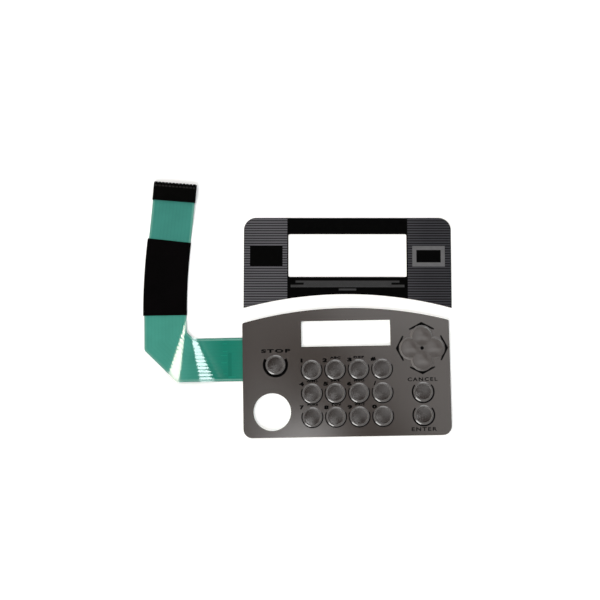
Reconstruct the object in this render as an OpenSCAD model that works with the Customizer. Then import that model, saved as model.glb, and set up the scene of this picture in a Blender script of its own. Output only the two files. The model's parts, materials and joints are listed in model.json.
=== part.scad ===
// Membrane keypad: an embossed keypad panel with a flat film tail and a crimp connector,
// and the display overlay that lies above it. Millimetres, lying face up.
// Drawing coordinates: x from the keypad's middle, y up from its lower edge, z up from its rear face.

/* [Keypad panel] */
// Width of the keypad panel
keypad_w = 150; // [140:0.5:180]
// Height of the keypad panel's straight sides
keypad_side_h = 83; // [82:0.5:110]
// Radius of the arched seam that both panels share
seam_r = 289; // [200:1:500]
// Radius of the keypad's lower corners
keypad_corner_r = 6.5; // [2:0.5:10]
// Radius where the arch meets each side
shoulder_r = 1.5; // [0.8:0.1:3]
// Set-back of the inner layers from the panel's edge
layer_inset = 0.5; // [0.1:0.1:1.5]

/* [Layers] */
// Thickness of the release liners
liner_t = 0.15; // [0.1:0.05:0.4]
// Thickness of the mounting and overlay adhesives
adhesive_t = 0.15; // [0.05:0.05:0.5]
// Thickness of the circuit film
film_t = 0.2; // [0.1:0.05:0.4]
// Thickness of the dome spacer
spacer_t = 0.5; // [0.5:0.05:1]
// Thickness of the film that holds the domes
retainer_t = 0.1; // [0.05:0.05:0.3]
// Thickness of the graphic films
overlay_t = 0.25; // [0.15:0.05:0.5]
// Thickness of the printed ink
ink_t = 0.03; // [0.02:0.01:0.1]

/* [Windows] */
// Width of the keypad's display window
lcd_w = 64.5; // [40:0.5:80]
// Height of the keypad's display window
lcd_h = 18.5; // [12:0.5:20]
// Distance from the top of the arch to the window
lcd_drop = 9.2; // [6:0.1:14]
// Diameter of the round reader hole
reader_d = 27; // [20:0.5:30]
// Reader hole centre from the panel's left side
reader_from_left = 20.9; // [17:0.1:24]
// Reader hole centre from the panel's lower edge
reader_from_bottom = 18.5; // [17:0.1:22]

/* [Keys] */
// Outer diameter of an embossed key
key_d = 14.3; // [11:0.1:15]
// Height of the embossing
emboss_h = 0.6; // [0.4:0.05:1.2]
// Run of the sloped flank of a key
flank_w = 0.8; // [0.5:0.05:1.2]
// Width of the rounded rim of a key
rim_w = 0.5; // [0.3:0.05:0.9]
// Drop of the rim's rounding at each side
rim_round = 0.1; // [0.05:0.01:0.15]
// Depth of the pressing field inside the rim
dish_depth = 0.25; // [0.15:0.05:0.35]
// Rise of the pressing field towards its middle
crown_h = 0.2; // [0.05:0.05:0.3]
// Distance between neighbouring number keys
key_pitch = 17; // [16.5:0.1:19]
// Columns of number keys
key_cols = 4; // [2:1:4]
// Rows of number keys
key_rows = 3; // [2:1:3]
// Middle of the number field, from the panel's middle
field_x = 0.25; // [-3:0.05:3]
// Lowest row of keys, from the panel's lower edge
field_y = 14.4; // [12:0.1:16]
// Stop key centre from the panel's left side
stop_from_left = 23.7; // [18:0.1:26]
// Stop key centre from the panel's lower edge
stop_y = 52.5; // [48:0.1:58]
// Cancel, enter and arrow keys, from the panel's right side
function_from_right = 20; // [19:0.1:24]
// Cancel key centre from the panel's lower edge
cancel_y = 31.2; // [30.5:0.1:33]
// Enter key centre from the panel's lower edge
enter_y = 14.6; // [12:0.1:15.5]
// Arrow pad centre from the panel's lower edge
pad_y = 62.8; // [59:0.1:64]
// Arrow lobe centres from the pad's centre
lobe_offset = 8.3; // [7.5:0.1:9]
// Radius of an arrow lobe
lobe_r = 8.4; // [7:0.1:8.6]
// Width of the softened edge of an arrow lobe
lobe_soft_w = 1.5; // [0.8:0.1:2]
// How much lower the arrow pad is than the keys
lobe_drop = 0.12; // [0:0.02:0.3]

/* [Snap domes] */
// Diameter of a snap dome
dome_d = 8.4; // [6:0.1:9]
// Height of a snap dome
dome_h = 0.42; // [0.25:0.01:0.45]
// Sheet thickness of a snap dome
dome_t = 0.08; // [0.05:0.01:0.12]
// Gap round a dome in its spacer hole
dome_gap = 0.3; // [0.1:0.05:0.6]
// Width of the vent channels between the domes
vent_w = 1.2; // [0.6:0.1:2]

/* [Printed marks] */
// Line width of the ring round a number key
key_ring_w = 0.8; // [0.4:0.1:1.2]
// Line width of the ring round the stop key
stop_ring_w = 2; // [1:0.1:3]
// Line width of the rings round cancel and enter
function_ring_w = 1.1; // [0.5:0.1:1.6]
// Half of the gap at the top of a number key's ring, in degrees
key_ring_gap = 65; // [20:1:80]
// Half of the gap at the top of the stop key's ring, in degrees
stop_ring_gap = 60; // [20:1:80]
// Half of the gap at the top of the rings round cancel and enter, in degrees
function_ring_gap = 50; // [20:1:80]
// Reach of the chevrons from the arrow pad's centre
chevron_reach = 19; // [17.8:0.1:20]
// Half width of a chevron
chevron_half_w = 9.2; // [6:0.1:11]
// Thickness of a chevron at its apex
chevron_apex_t = 2.5; // [1.2:0.1:3]
// Thickness of a chevron at its ends
chevron_end_t = 1; // [0.6:0.1:1.6]
// Slope of a chevron's arms, in degrees
chevron_slope = 28; // [15:1:35]
// Diameter of the arrow pad's centre dot
dot_d = 2.6; // [1:0.1:4]

/* [Display overlay] */
// Width of the display overlay
display_w = 151.5; // [140:0.5:180]
// Height of the display overlay's straight sides
display_side_h = 66.3; // [60:0.1:90]
// Radius of the display overlay's upper corners
display_corner_r = 9; // [3:0.5:14]
// Width of the display overlay's window
display_window_w = 86.3; // [60:0.1:95]
// Height of the display overlay's window
display_window_h = 31.4; // [20:0.1:34]
// Corner radius of that window
display_window_r = 1; // [0.3:0.1:3]
// Distance from the overlay's upper edge to its window
display_window_drop = 12.1; // [8:0.1:15]
// Gap between the two arcs at the middle
seam_gap = 10.1; // [6:0.1:25]
// Sideways shift of the display overlay as it lies
display_shift = 1.8; // [-5:0.1:5]
// Turn of the display overlay as it lies, in degrees
display_turn = -1; // [-3:0.1:3]
// Reach of the printed black band past each side of the window
band_margin = 0.75; // [0.2:0.05:5]
// Pitch of the printed pinstripes
stripe_pitch = 1.86; // [1.4:0.02:3]
// Width of a pinstripe
stripe_w = 0.55; // [0.4:0.05:1.2]
// Height of a printed badge field
badge_h = 15.1; // [10:0.1:18]
// Distance from the overlay's side to a badge field
badge_side_gap = 4.6; // [2:0.1:6]
// Distance from the black band to a badge field
badge_band_gap = 3.5; // [2:0.1:6]
// Middle of a badge field above the tips of the overlay
badge_y = 38; // [32:0.1:44]
// Frame width of the right badge field
badge_frame = 3; // [1:0.1:5]

/* [Tail] */
// Width of the tail where it leaves the panel
root_w = 31.4; // [24:0.1:36]
// Middle of the tail's root from the panel's lower edge
root_y = 56.8; // [45:0.1:62]
// Film beyond the connector's outer positions, on each side of the upright arm
arm_edge = 0.1; // [0.05:0.05:1]
// Middle of the upright arm from the panel's left side
arm_from_panel = 55.8; // [40:0.1:80]
// Size of the slanted cut at the outer corner
outer_cut = 23.5; // [10:0.5:28]
// Size of the slanted web in the inner corner
inner_cut = 5; // [2:0.5:8]
// Straight part of the arm above the root, up to the sway
sway_start = 16.7; // [10:0.1:30]
// Length over which the arm sways towards the panel
sway_len = 57; // [56:1:80]
// Turn of the arm over that length, in degrees
sway_turn = 7.4; // [1:0.1:10]
// Turn back over the rest of the arm, in degrees
sway_back = 1.8; // [0:0.2:4]
// Direction of the buckle in the corner, from straight down
buckle_dir = -2; // [-15:1:10]
// Half of the angle that the buckle spans
buckle_spread = 29; // [15:1:30]
// Rise of the buckle for each millimetre from its tip
buckle_rise = 0.08; // [0:0.01:0.12]

/* [Sleeve] */
// Start of the sleeve above the straight part of the arm
sleeve_start = 0.5; // [0:0.5:2]
// Length of the sleeve
sleeve_len = 55; // [20:0.5:56]
// Thickness of the sleeve's tape
sleeve_t = 0.3; // [0.1:0.05:0.3]
// Gap between the film's edge and the folded tape
sleeve_gap = 0.05; // [0.05:0.05:0.5]
// Overhang of the tape's fold at the arm's outer edge
sleeve_overhang = 0.45; // [0:0.05:1]

/* [Connector] */
// Positions in the connector
ways = 12; // [4:1:12]
// Pitch of the positions
way_pitch = 2.54; // [2:0.02:2.54]
// Bare film between the sleeve and the connector
open_film = 29.2; // [15:0.1:60]
// Wall beside the outer positions
housing_side = 0.42; // [0.4:0.02:2]
// Length of the housing
housing_len = 13.6; // [11:0.1:18]
// Thickness of the housing
housing_h = 2.6; // [2.4:0.1:4]
// Chamfer along the housing's long edges
housing_chamfer = 0.3; // [0.1:0.05:0.5]
// Depth to which the film enters the housing
tongue_len = 5; // [3:0.1:5.5]
// Side clearance of the film's end in the housing
tongue_gap = 0.15; // [0.05:0.05:0.4]
// Width of a contact
contact_w = 1.5; // [1:0.05:1.6]
// Height of a contact
contact_h = 1.3; // [0.8:0.05:1.4]
// Sheet thickness of a contact
contact_t = 0.2; // [0.1:0.05:0.3]
// Clearance of a contact in its cavity
contact_gap = 0.1; // [0.05:0.05:0.2]
// Length of the contact's crimp tab on the film
tab_len = 3.5; // [2:0.1:4.5]
// Width of the contact's crimp tab
tab_w = 1; // [0.6:0.05:1.4]
// Depth of the notches between the teeth of the mating edge
notch_depth = 0.8; // [0.3:0.1:1.5]
// Width of those notches
notch_w = 0.7; // [0.3:0.05:0.8]
// Length of a contact window
window_len = 1.3; // [0.6:0.1:2.5]
// Distance of the contact windows from the mating edge
window_from_edge = 2.2; // [1.6:0.1:4]

/* [Hidden] */
$fn = 96;
over = 1;

// Heights of the layers, each from the one below it
adhesive_z = liner_t;
film_z = adhesive_z + adhesive_t;
spacer_z = film_z + film_t;
retainer_z = spacer_z + spacer_t;
top_adhesive_z = retainer_z + retainer_t;
overlay_z = top_adhesive_z + adhesive_t;
face_z = overlay_z + overlay_t;
display_film_z = liner_t + adhesive_t;

// Places on the keypad panel
half_w = keypad_w / 2;
seam_y = keypad_side_h - sqrt(pow(seam_r, 2) - pow(half_w, 2));
arch_top = seam_y + seam_r;
reader_at = [reader_from_left - half_w, reader_from_bottom];
lcd_mid_y = arch_top - lcd_drop - lcd_h / 2;
function_x = half_w - function_from_right;
stop_at = [stop_from_left - half_w, stop_y];
cancel_at = [function_x, cancel_y];
enter_at = [function_x, enter_y];
pad_at = [function_x, pad_y];
number_keys = [
    for (row = [0 : key_rows - 1], col = [0 : key_cols - 1])
        [field_x + (col - (key_cols - 1) / 2) * key_pitch, field_y + row * key_pitch]
];
round_keys = concat(number_keys, [stop_at, cancel_at, enter_at]);
lobes = [for (a = [0 : 90 : 270]) pad_at + lobe_offset * [cos(a), sin(a)]];
key_seats = concat(round_keys, lobes);
key_count = len(key_seats);
lobe_plateau_h = emboss_h - lobe_drop;
soft_steps = 3;
corner_reach = 2.5;
seat_d = dome_d + 2 * dome_gap;

// Places on the display overlay, from the middle between its two tips
display_half_w = display_w / 2;
display_seam_y = -sqrt(pow(seam_r, 2) - pow(display_half_w, 2));
display_sagitta = display_seam_y + seam_r;
display_window_mid_y = display_side_h - display_window_drop - display_window_h / 2;
band_w = display_window_w + 2 * band_margin;
badge_w = display_half_w - band_w / 2 - badge_side_gap - badge_band_gap;
badge_x = display_half_w - badge_side_gap - badge_w / 2;

// The tail's outline
root_top = root_y + root_w / 2;
root_bottom = root_y - root_w / 2;
ways_w = ways * way_pitch;
arm_w = ways_w + 2 * arm_edge;
arm_x = -half_w - arm_from_panel;
arm_inner = arm_x + arm_w / 2;
arm_outer = arm_x - arm_w / 2;
tail_z_end = (housing_h - film_t) / 2;
arm_base = [arm_x, root_top + sway_start, 0];
sleeve_end = sleeve_start + sleeve_len;
film_end = sleeve_end + open_film;
arm_step = sway_len / 16;
rise_from = sleeve_end + arm_step;
buckle_tip = [arm_inner + layer_inset, arm_base.y];

// The connector, in its own frame: x across, y towards the mating edge
housing_w = ways_w + 2 * housing_side;
tongue_w = ways_w - way_pitch / 2;
cavity_w = contact_w + 2 * contact_gap;
cavity_h = contact_h + 2 * contact_gap;
contact_top = tail_z_end + film_t + contact_t;
contact_z = contact_top - contact_h / 2 - contact_t;
contact_from = tongue_len + contact_gap;
contact_to = housing_len - notch_depth - contact_gap;

// Every piece by name

// A step along a circular path: position and heading after a length and a turn to the right
function heading_vector(a) = [sin(a), cos(a)];
function chord(length, turn) =
    turn == 0 ? length : length * sin(turn / 2) / (turn / 2 * PI / 180);
function step_on(p, length, turn) = [
    p.x + chord(length, turn) * sin(p[2] + turn / 2),
    p.y + chord(length, turn) * cos(p[2] + turn / 2),
    p[2] + turn
];
sway_end = step_on(arm_base, sway_len, sway_turn);
back_len = film_end - sway_len;
function arm_at(s) = s <= sway_len
    ? step_on(arm_base, s, sway_turn * s / sway_len)
    : step_on(sway_end, s - sway_len, -sway_back * (s - sway_len) / back_len);
connector_at = arm_at(film_end);

// Smooth rise from 0 to 1
function ease(t) = let (u = min(max(t, 0), 1)) u * u * (3 - 2 * u);

// Height of the film's rear face along the arm: flat past the sleeve's end, then up to the connector
function arm_z(s) =
    film_z + (tail_z_end - film_z) * ease((s - rise_from) / (film_end - arm_step - rise_from));

// A ray from the buckle's tip, turned from straight down towards the arm's outer side
function least(list) = min([for (v = list) if (v > 0) v]);
function ray(a) = [-sin(a), -cos(a)];
function ray_in(a) = least([
    (buckle_tip.y - root_top) / cos(a),
    (buckle_tip.x - arm_inner) / (a > 0 ? sin(a) : -1),
    (buckle_tip.x + buckle_tip.y - arm_inner - inner_cut - root_top) / (sin(a) + cos(a))
]);
function ray_out(a) = least([
    (buckle_tip.y - root_bottom) / cos(a),
    (buckle_tip.x - arm_outer) / (a > 0 ? sin(a) : -1),
    (buckle_tip.x + buckle_tip.y - arm_outer - outer_cut - root_bottom) / (sin(a) + cos(a))
]);
function buckle(r, a) = abs(a - buckle_dir) >= buckle_spread ? 0
    : r * buckle_rise * (1 + cos(180 * (a - buckle_dir) / buckle_spread)) / 2;
function ray_point(r, a) = concat(buckle_tip + r * ray(a), film_z + buckle(r, a));

// Cross lines of the tail: the point at its inner edge and the point at its outer edge
first_ray = buckle_dir - buckle_spread;
ray_step = 2;
root_x = -half_w + layer_inset;
stub_x = -half_w - layer_inset;
corner_lines = [
    for (a = [first_ray : ray_step : 90 - ray_step]) [ray_point(ray_in(a), a), ray_point(ray_out(a), a)]
];
arm_steps = ceil(film_end / arm_step);
arm_lines = [
    for (i = [0 : arm_steps])
        let (s = i * film_end / arm_steps, p = arm_at(s), side = arm_w / 2 * [cos(p[2]), -sin(p[2])])
        [[p.x + side.x, p.y + side.y, arm_z(s)], [p.x - side.x, p.y - side.y, arm_z(s)]]
];
tail_lines = concat(
    [[[stub_x, root_top, film_z], [stub_x, root_bottom, film_z]]],
    corner_lines,
    arm_lines
);

// Puts drawing coordinates in the part's frame, with the keypad panel's middle at the origin
module placed() {
    translate([0, -arch_top / 2, 0]) children();
}

module display_placed() {
    placed() translate([display_shift, arch_top + seam_gap - display_sagitta, 0])
        rotate([0, 0, display_turn]) children();
}

module connector_placed() {
    placed() translate([connector_at.x, connector_at.y, 0]) rotate([0, 0, -connector_at[2]]) children();
}

// What a corner of radius r loses, between two directions seen from its centre
module corner_waste(centre, r, from, to) {
    reach = corner_reach * r;
    side_from = reach * [cos(from), sin(from)];
    side_to = reach * [cos(to), sin(to)];
    translate(centre) difference() {
        polygon([[0, 0], side_from, side_from + side_to, side_to]);
        circle(r);
    }
}

module both_sides() {
    children();
    mirror([1, 0]) children();
}

// Outline of a keypad layer with its windows
module keypad_outline(inset = 0) {
    w = half_w - inset;
    r = seam_r - inset;
    corner = keypad_corner_r - inset;
    shoulder = shoulder_r - inset / 2;
    shoulder_at = [w - shoulder, seam_y + sqrt(pow(r - shoulder, 2) - pow(w - shoulder, 2))];
    difference() {
        intersection() {
            translate([-w, inset]) square([2 * w, arch_top]);
            translate([0, seam_y]) circle(r, $fn = 720);
        }
        both_sides() {
            corner_waste([w - corner, inset + corner], corner, -90, 0);
            corner_waste(shoulder_at, shoulder, 0, atan2(shoulder_at.y - seam_y, shoulder_at.x));
        }
        translate([-lcd_w / 2, lcd_mid_y - lcd_h / 2]) square([lcd_w, lcd_h]);
        translate(reader_at) circle(d = reader_d);
    }
}

module keypad_layer(z, t, inset = 0) {
    translate([0, 0, z]) linear_extrude(t) difference() {
        keypad_outline(inset);
        children();
    }
}

// Outline of a display overlay layer with its window
module display_outline() {
    corner_at = [display_half_w - display_corner_r, display_side_h - display_corner_r];
    difference() {
        translate([-display_half_w, 0]) square([display_w, display_side_h]);
        translate([0, display_seam_y]) circle(seam_r, $fn = 720);
        both_sides() corner_waste(corner_at, display_corner_r, 0, 90);
        translate([0, display_window_mid_y]) rounded_rect(display_window_w, display_window_h, display_window_r);
    }
}

module rounded_rect(w, h, r) {
    square([w - 2 * r, h], center = true);
    square([w, h - 2 * r], center = true);
    for (x = [-1, 1], y = [-1, 1]) translate([x * (w / 2 - r), y * (h / 2 - r)]) circle(r);
}

module display_layer(z, t) {
    display_placed() translate([0, 0, z]) linear_extrude(t) display_outline();
}

// Half section of a raised form, from its foot through points that give the run inwards and the height
module raised_section(foot_r, points) {
    polygon(concat(
        [[0, -overlay_t], [foot_r, -overlay_t], [foot_r, 0]],
        [for (p = points) [foot_r - p.x, p.y]],
        [[0, points[len(points) - 1].y]]
    ));
}

// A round embossed key: sloped flank, rounded rim and a crowned pressing field inside it
module key_form(drop = 0) {
    foot_r = key_d / 2;
    rim_run = flank_w + rim_w;
    field_run = rim_run + dish_depth * 2;
    field_r = foot_r - field_run;
    crown_r = (pow(field_r, 2) + pow(crown_h, 2)) / (2 * crown_h);
    translate([0, 0, -drop]) rotate_extrude() {
        raised_section(foot_r, [
            [flank_w, emboss_h - rim_round],
            [flank_w + rim_w / 2, emboss_h],
            [rim_run, emboss_h - rim_round],
            [field_run + dish_depth, emboss_h - dish_depth - rim_round]
        ]);
        intersection() {
            translate([0, -overlay_t]) square([field_r + dish_depth / 2, overlay_t + emboss_h + crown_h]);
            translate([0, emboss_h - dish_depth + crown_h - crown_r]) circle(crown_r, $fn = 720);
        }
    }
}

// One lobe of the arrow pad: a flank that softens in steps towards the flat top
module lobe_form(drop = 0) {
    translate([0, 0, -drop]) rotate_extrude() raised_section(lobe_r, [
        for (i = [1 : soft_steps])
            let (t = i / soft_steps) [t * lobe_soft_w, lobe_plateau_h * sin(90 * t)]
    ]);
}

// The arrow pad's raised form: four lobes that run together in a flat middle
module pad_form(drop = 0) {
    at_each(lobes) lobe_form(drop);
    translate([pad_at.x, pad_at.y, -overlay_t - drop])
        cylinder(h = overlay_t + lobe_plateau_h, r = lobe_offset / 2);
}

// The shallow finger dish in the top of a lobe, cut by a large ball
module lobe_dish(drop = 0) {
    dish_r = lobe_r - lobe_soft_w - dish_depth;
    ball_r = (pow(dish_r, 2) + pow(dish_depth, 2)) / (2 * dish_depth);
    translate([0, 0, lobe_plateau_h - dish_depth - drop + ball_r]) intersection() {
        sphere(ball_r, $fn = 360);
        translate([0, 0, -ball_r - over]) cylinder(h = 2 * over + dish_depth * 2, r = dish_r + over);
    }
}

module at_each(places) {
    for (p = places) translate(p) children();
}

module release_liner() {
    color("#d9d3bd") placed() keypad_layer(0, liner_t);
}

module rear_adhesive() {
    color("#cfc9b8") placed() keypad_layer(adhesive_z, adhesive_t);
}

// A sheet of one thickness through pairs of edge points
module ribbon(lines, t) {
    count = len(lines);
    points = [for (l = lines, z = [0, t], p = l) [p.x, p.y, p.z + z]];
    ring = [0, 1, 3, 2];
    faces = concat(
        [[for (k = [0 : 3]) ring[k]]],
        [
            for (i = [0 : count - 2], k = [0 : 3], half = [0, 1])
                let (a = 4 * i + ring[k], b = 4 * i + ring[(k + 1) % 4])
                half == 0 ? [a, a + 4, b] : [b, a + 4, b + 4]
        ],
        [[for (k = [3 : -1 : 0]) 4 * (count - 1) + ring[k]]]
    );
    polyhedron(points, faces);
}

module circuit_film() {
    color("#3f8374") {
        placed() translate([0, 0, film_z]) linear_extrude(film_t) {
            keypad_outline(layer_inset);
            translate([stub_x, root_bottom]) square([root_x - stub_x + layer_inset, root_w]);
        }
        placed() ribbon(tail_lines, film_t);
        connector_placed() translate([-tongue_w / 2, 0, tail_z_end]) cube([tongue_w, tongue_len, film_t]);
    }
}

module vent_channels() {
    first = number_keys[0];
    length = (key_cols - 1) * key_pitch;
    for (row = [0 : key_rows - 1])
        translate([first.x, first.y + row * key_pitch - vent_w / 2]) square([length, vent_w]);
    translate([function_x - vent_w / 2, enter_y]) square([vent_w, pad_y - enter_y]);
    translate([function_x - lobe_offset, pad_y - vent_w / 2]) square([2 * lobe_offset, vent_w]);
    translate([function_x - vent_w / 2, pad_y]) square([vent_w, lobe_offset]);
}

module dome_spacer() {
    color("#c9d2d6") placed() keypad_layer(spacer_z, spacer_t, layer_inset) {
        at_each(key_seats) circle(d = seat_d);
        vent_channels();
    }
}

// A snap dome is a cap of a thin ball shell, standing on its rim
module snap_dome(i) {
    rim_r = dome_d / 2;
    shell_r = (pow(rim_r, 2) + pow(dome_h, 2)) / (2 * dome_h);
    color("#b9bcc0") placed() translate(concat(key_seats[i], spacer_z)) intersection() {
        translate([0, 0, dome_h - shell_r]) difference() {
            sphere(shell_r, $fn = 180);
            sphere(shell_r - dome_t, $fn = 180);
        }
        cylinder(h = spacer_t, d = dome_d);
    }
}

module dome_retainer() {
    color("#dfe3e4") placed() keypad_layer(retainer_z, retainer_t, layer_inset);
}

module overlay_adhesive() {
    color("#cfc9b8") placed() keypad_layer(top_adhesive_z, adhesive_t) {
        at_each(round_keys) circle(d = key_d);
        at_each(lobes) circle(r = lobe_r);
    }
}

module keypad_overlay() {
    color("#57534f") placed() {
        keypad_layer(overlay_z, overlay_t) {
            at_each(round_keys) circle(d = key_d);
            at_each(lobes) circle(r = lobe_r);
        }
        translate([0, 0, face_z]) {
            at_each(round_keys) difference() {
                key_form();
                key_form(overlay_t);
            }
            difference() {
                pad_form();
                at_each(lobes) lobe_dish();
                difference() {
                    pad_form(overlay_t);
                    at_each(lobes) lobe_dish(overlay_t);
                }
            }
        }
    }
}

// An open ring round a key, with a gap at the top that spans twice the given angle
module open_ring(line_w, gap) {
    outer_r = key_d / 2 + line_w;
    reach = outer_r * 2;
    difference() {
        circle(outer_r);
        circle(d = key_d);
        polygon([[0, 0], reach * [-sin(gap), cos(gap)], [0, reach], reach * [sin(gap), cos(gap)]]);
    }
}

// A chevron that points to +y and makes way for the lobe inside it
module chevron() {
    end_y = chevron_reach - chevron_half_w * tan(chevron_slope);
    inner_end = [chevron_half_w, end_y] - chevron_end_t * [sin(chevron_slope), cos(chevron_slope)];
    difference() {
        polygon([
            [0, chevron_reach],
            [chevron_half_w, end_y],
            inner_end,
            [0, chevron_reach - chevron_apex_t],
            [-inner_end.x, inner_end.y],
            [-chevron_half_w, end_y]
        ]);
        translate([0, lobe_offset]) circle(lobe_r);
    }
}

module keypad_print() {
    color("#0c0b0a") placed() translate([0, 0, face_z]) {
        linear_extrude(ink_t) {
            at_each(number_keys) open_ring(key_ring_w, key_ring_gap);
            translate(stop_at) open_ring(stop_ring_w, stop_ring_gap);
            at_each([cancel_at, enter_at]) open_ring(function_ring_w, function_ring_gap);
            translate(pad_at) for (a = [0 : 90 : 270]) rotate(a) chevron();
        }
        translate(concat(pad_at, lobe_plateau_h)) cylinder(h = ink_t, d = dot_d);
    }
}

// The tape sleeve: a closed flat tube that follows the arm's sway
module tail_sleeve() {
    sway_r = sway_len / (sway_turn * PI / 180);
    inner_half = arm_w / 2 + sleeve_gap;
    inner_w = 2 * inner_half + sleeve_overhang;
    turn = sway_turn * sleeve_len / sway_len;
    color("#0b0a0a") placed() translate([arm_base.x + sway_r, arm_base.y, film_z - sleeve_t])
        rotate([0, 0, 180 - sway_turn * sleeve_end / sway_len])
            rotate_extrude(angle = turn, $fn = 1440) translate([sway_r - inner_half, 0]) difference() {
                translate([-sleeve_t, 0]) square([inner_w + 2 * sleeve_t, film_t + 2 * sleeve_t]);
                translate([0, sleeve_t]) square([inner_w, film_t]);
            }
}

module at_each_way() {
    for (i = [0 : ways - 1]) translate([(i - (ways - 1) / 2) * way_pitch, 0, 0]) children();
}

// The housing: a chamfered block with a film slot, a cavity and a window for each contact
module connector_housing() {
    c = housing_chamfer;
    cavity_z = contact_z - contact_gap;
    color("#141313") connector_placed() difference() {
        translate([-housing_w / 2, 0, 0]) rotate([90, 0, 90]) linear_extrude(housing_w) polygon([
            [c, 0],
            [housing_len - c, 0],
            [housing_len, c],
            [housing_len, housing_h - c],
            [housing_len - c, housing_h],
            [c, housing_h],
            [0, housing_h - c],
            [0, c]
        ]);
        translate([-tongue_w / 2 - tongue_gap, -over, tail_z_end])
            cube([tongue_w + 2 * tongue_gap, over + tongue_len, film_t + contact_t + contact_gap]);
        at_each_way() {
            translate([-cavity_w / 2, tongue_len, cavity_z]) cube([cavity_w, housing_len, cavity_h]);
            translate([-cavity_w / 2, housing_len - window_from_edge - window_len, contact_z])
                cube([cavity_w, window_len, housing_h]);
        }
        for (i = [0 : ways])
            translate([(i - ways / 2) * way_pitch - notch_w / 2, housing_len - notch_depth, -over])
                cube([notch_w, housing_len, housing_h + 2 * over]);
    }
}

// A contact: a box receptacle with a crimp tab that lies on the film
module contact(i) {
    x = (i - (ways - 1) / 2) * way_pitch;
    wall = contact_t;
    color("#b5b3a8") connector_placed() translate([x, 0, 0]) {
        translate([-contact_w / 2, contact_from, contact_z]) difference() {
            cube([contact_w, contact_to - contact_from, contact_h]);
            translate([wall, wall, wall])
                cube([contact_w - 2 * wall, contact_to - contact_from, contact_h - 2 * wall]);
        }
        translate([-tab_w / 2, contact_from - tab_len, contact_top - wall]) cube([tab_w, tab_len + wall, wall]);
    }
}

module display_liner() {
    color("#d9d3bd") display_layer(0, liner_t);
}

module display_adhesive() {
    color("#cfc9b8") display_layer(liner_t, adhesive_t);
}

module display_overlay() {
    color("#3a393d") display_layer(display_film_z, overlay_t);
}

// The printed band, the badge fields and the pinstripes, all inside the overlay's outline
module display_print() {
    stripes = ceil(display_side_h / stripe_pitch);
    color("#060606") display_placed() translate([0, 0, display_film_z + overlay_t]) linear_extrude(ink_t)
        intersection() {
            display_outline();
            union() {
                translate([-band_w / 2, 0]) square([band_w, display_side_h]);
                translate([-badge_x, badge_y]) square([badge_w, badge_h], center = true);
                translate([badge_x, badge_y])
                    square([badge_w - 2 * badge_frame, badge_h - 2 * badge_frame], center = true);
                difference() {
                    for (i = [0 : stripes]) translate([-display_half_w, (i + 0.5) * stripe_pitch - stripe_w / 2])
                        square([display_w, stripe_w]);
                    translate([badge_x, badge_y]) square([badge_w, badge_h], center = true);
                }
            }
        }
}

release_liner();
rear_adhesive();
circuit_film();
dome_spacer();
for (i = [0 : key_count - 1]) snap_dome(i);
dome_retainer();
overlay_adhesive();
keypad_overlay();
keypad_print();
tail_sleeve();
connector_housing();
for (i = [0 : ways - 1]) contact(i);
display_liner();
display_adhesive();
display_overlay();
display_print();
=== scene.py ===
"""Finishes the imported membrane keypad: films, inks, lettering, tail print, camera, lamps and floor."""

import json
import math

import bpy
from mathutils import Matrix, Vector


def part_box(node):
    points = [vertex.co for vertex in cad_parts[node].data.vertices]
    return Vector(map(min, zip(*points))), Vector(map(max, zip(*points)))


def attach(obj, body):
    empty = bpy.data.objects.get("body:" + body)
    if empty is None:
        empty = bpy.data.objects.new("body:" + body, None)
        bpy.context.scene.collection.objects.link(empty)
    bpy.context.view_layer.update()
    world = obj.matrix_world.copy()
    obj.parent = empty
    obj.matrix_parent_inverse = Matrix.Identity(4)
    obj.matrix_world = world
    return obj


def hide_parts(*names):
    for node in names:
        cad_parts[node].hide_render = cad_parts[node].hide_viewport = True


bl_info = {
    "name": "Membrane Keypad Finish",
    "version": (1, 0, 0),
    "blender": (4, 5, 0),
    "location": "View3D > Sidebar > Keypad",
    "description": "Gives the packed membrane keypad its films, inks, lettering and stage",
    "category": "Object",
}

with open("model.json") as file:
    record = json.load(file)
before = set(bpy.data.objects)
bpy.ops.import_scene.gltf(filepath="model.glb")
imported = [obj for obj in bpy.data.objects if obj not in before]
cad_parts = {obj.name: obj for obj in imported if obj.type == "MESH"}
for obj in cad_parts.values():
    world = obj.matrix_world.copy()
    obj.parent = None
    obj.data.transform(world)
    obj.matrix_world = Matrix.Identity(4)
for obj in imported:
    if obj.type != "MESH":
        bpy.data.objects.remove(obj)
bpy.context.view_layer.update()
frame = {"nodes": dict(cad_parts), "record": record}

MM = 0.001
PANEL_HALF_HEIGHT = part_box("release_liner")[1].y
FACE_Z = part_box("keypad_print")[0].z
BAND_TOP_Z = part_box("display_print")[1].z

# Printed marks: text, middle from the middle of the panel's lower edge, and width, in millimetres
NUMBERS = (
    ("1", -32.4, 55.2, 1.5), ("2", -15.5, 55.2, 3.4), ("3", 2.3, 55.4, 3.3), ("#", 19.5, 55.5, 3.6),
    ("4", -32.6, 38.2, 3.4), ("5", -15.2, 38.2, 3.4), ("6", 1.8, 38.0, 3.4), ("/", 20.3, 38.1, 2.0),
    ("7", -32.7, 21.5, 3.0), ("8", -15.0, 21.2, 3.4), ("9", 1.9, 21.2, 3.4), ("0", 19.6, 21.2, 3.6),
)
# The same for the function words, with the share of the full stroke weight
WORDS = (("STOP", -50.9, 62.5, 21.2, 0.85), ("CANCEL", 54.8, 40.3, 21.6, 0.45), ("ENTER", 55.1, 4.5, 18.2, 0.4))
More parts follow.
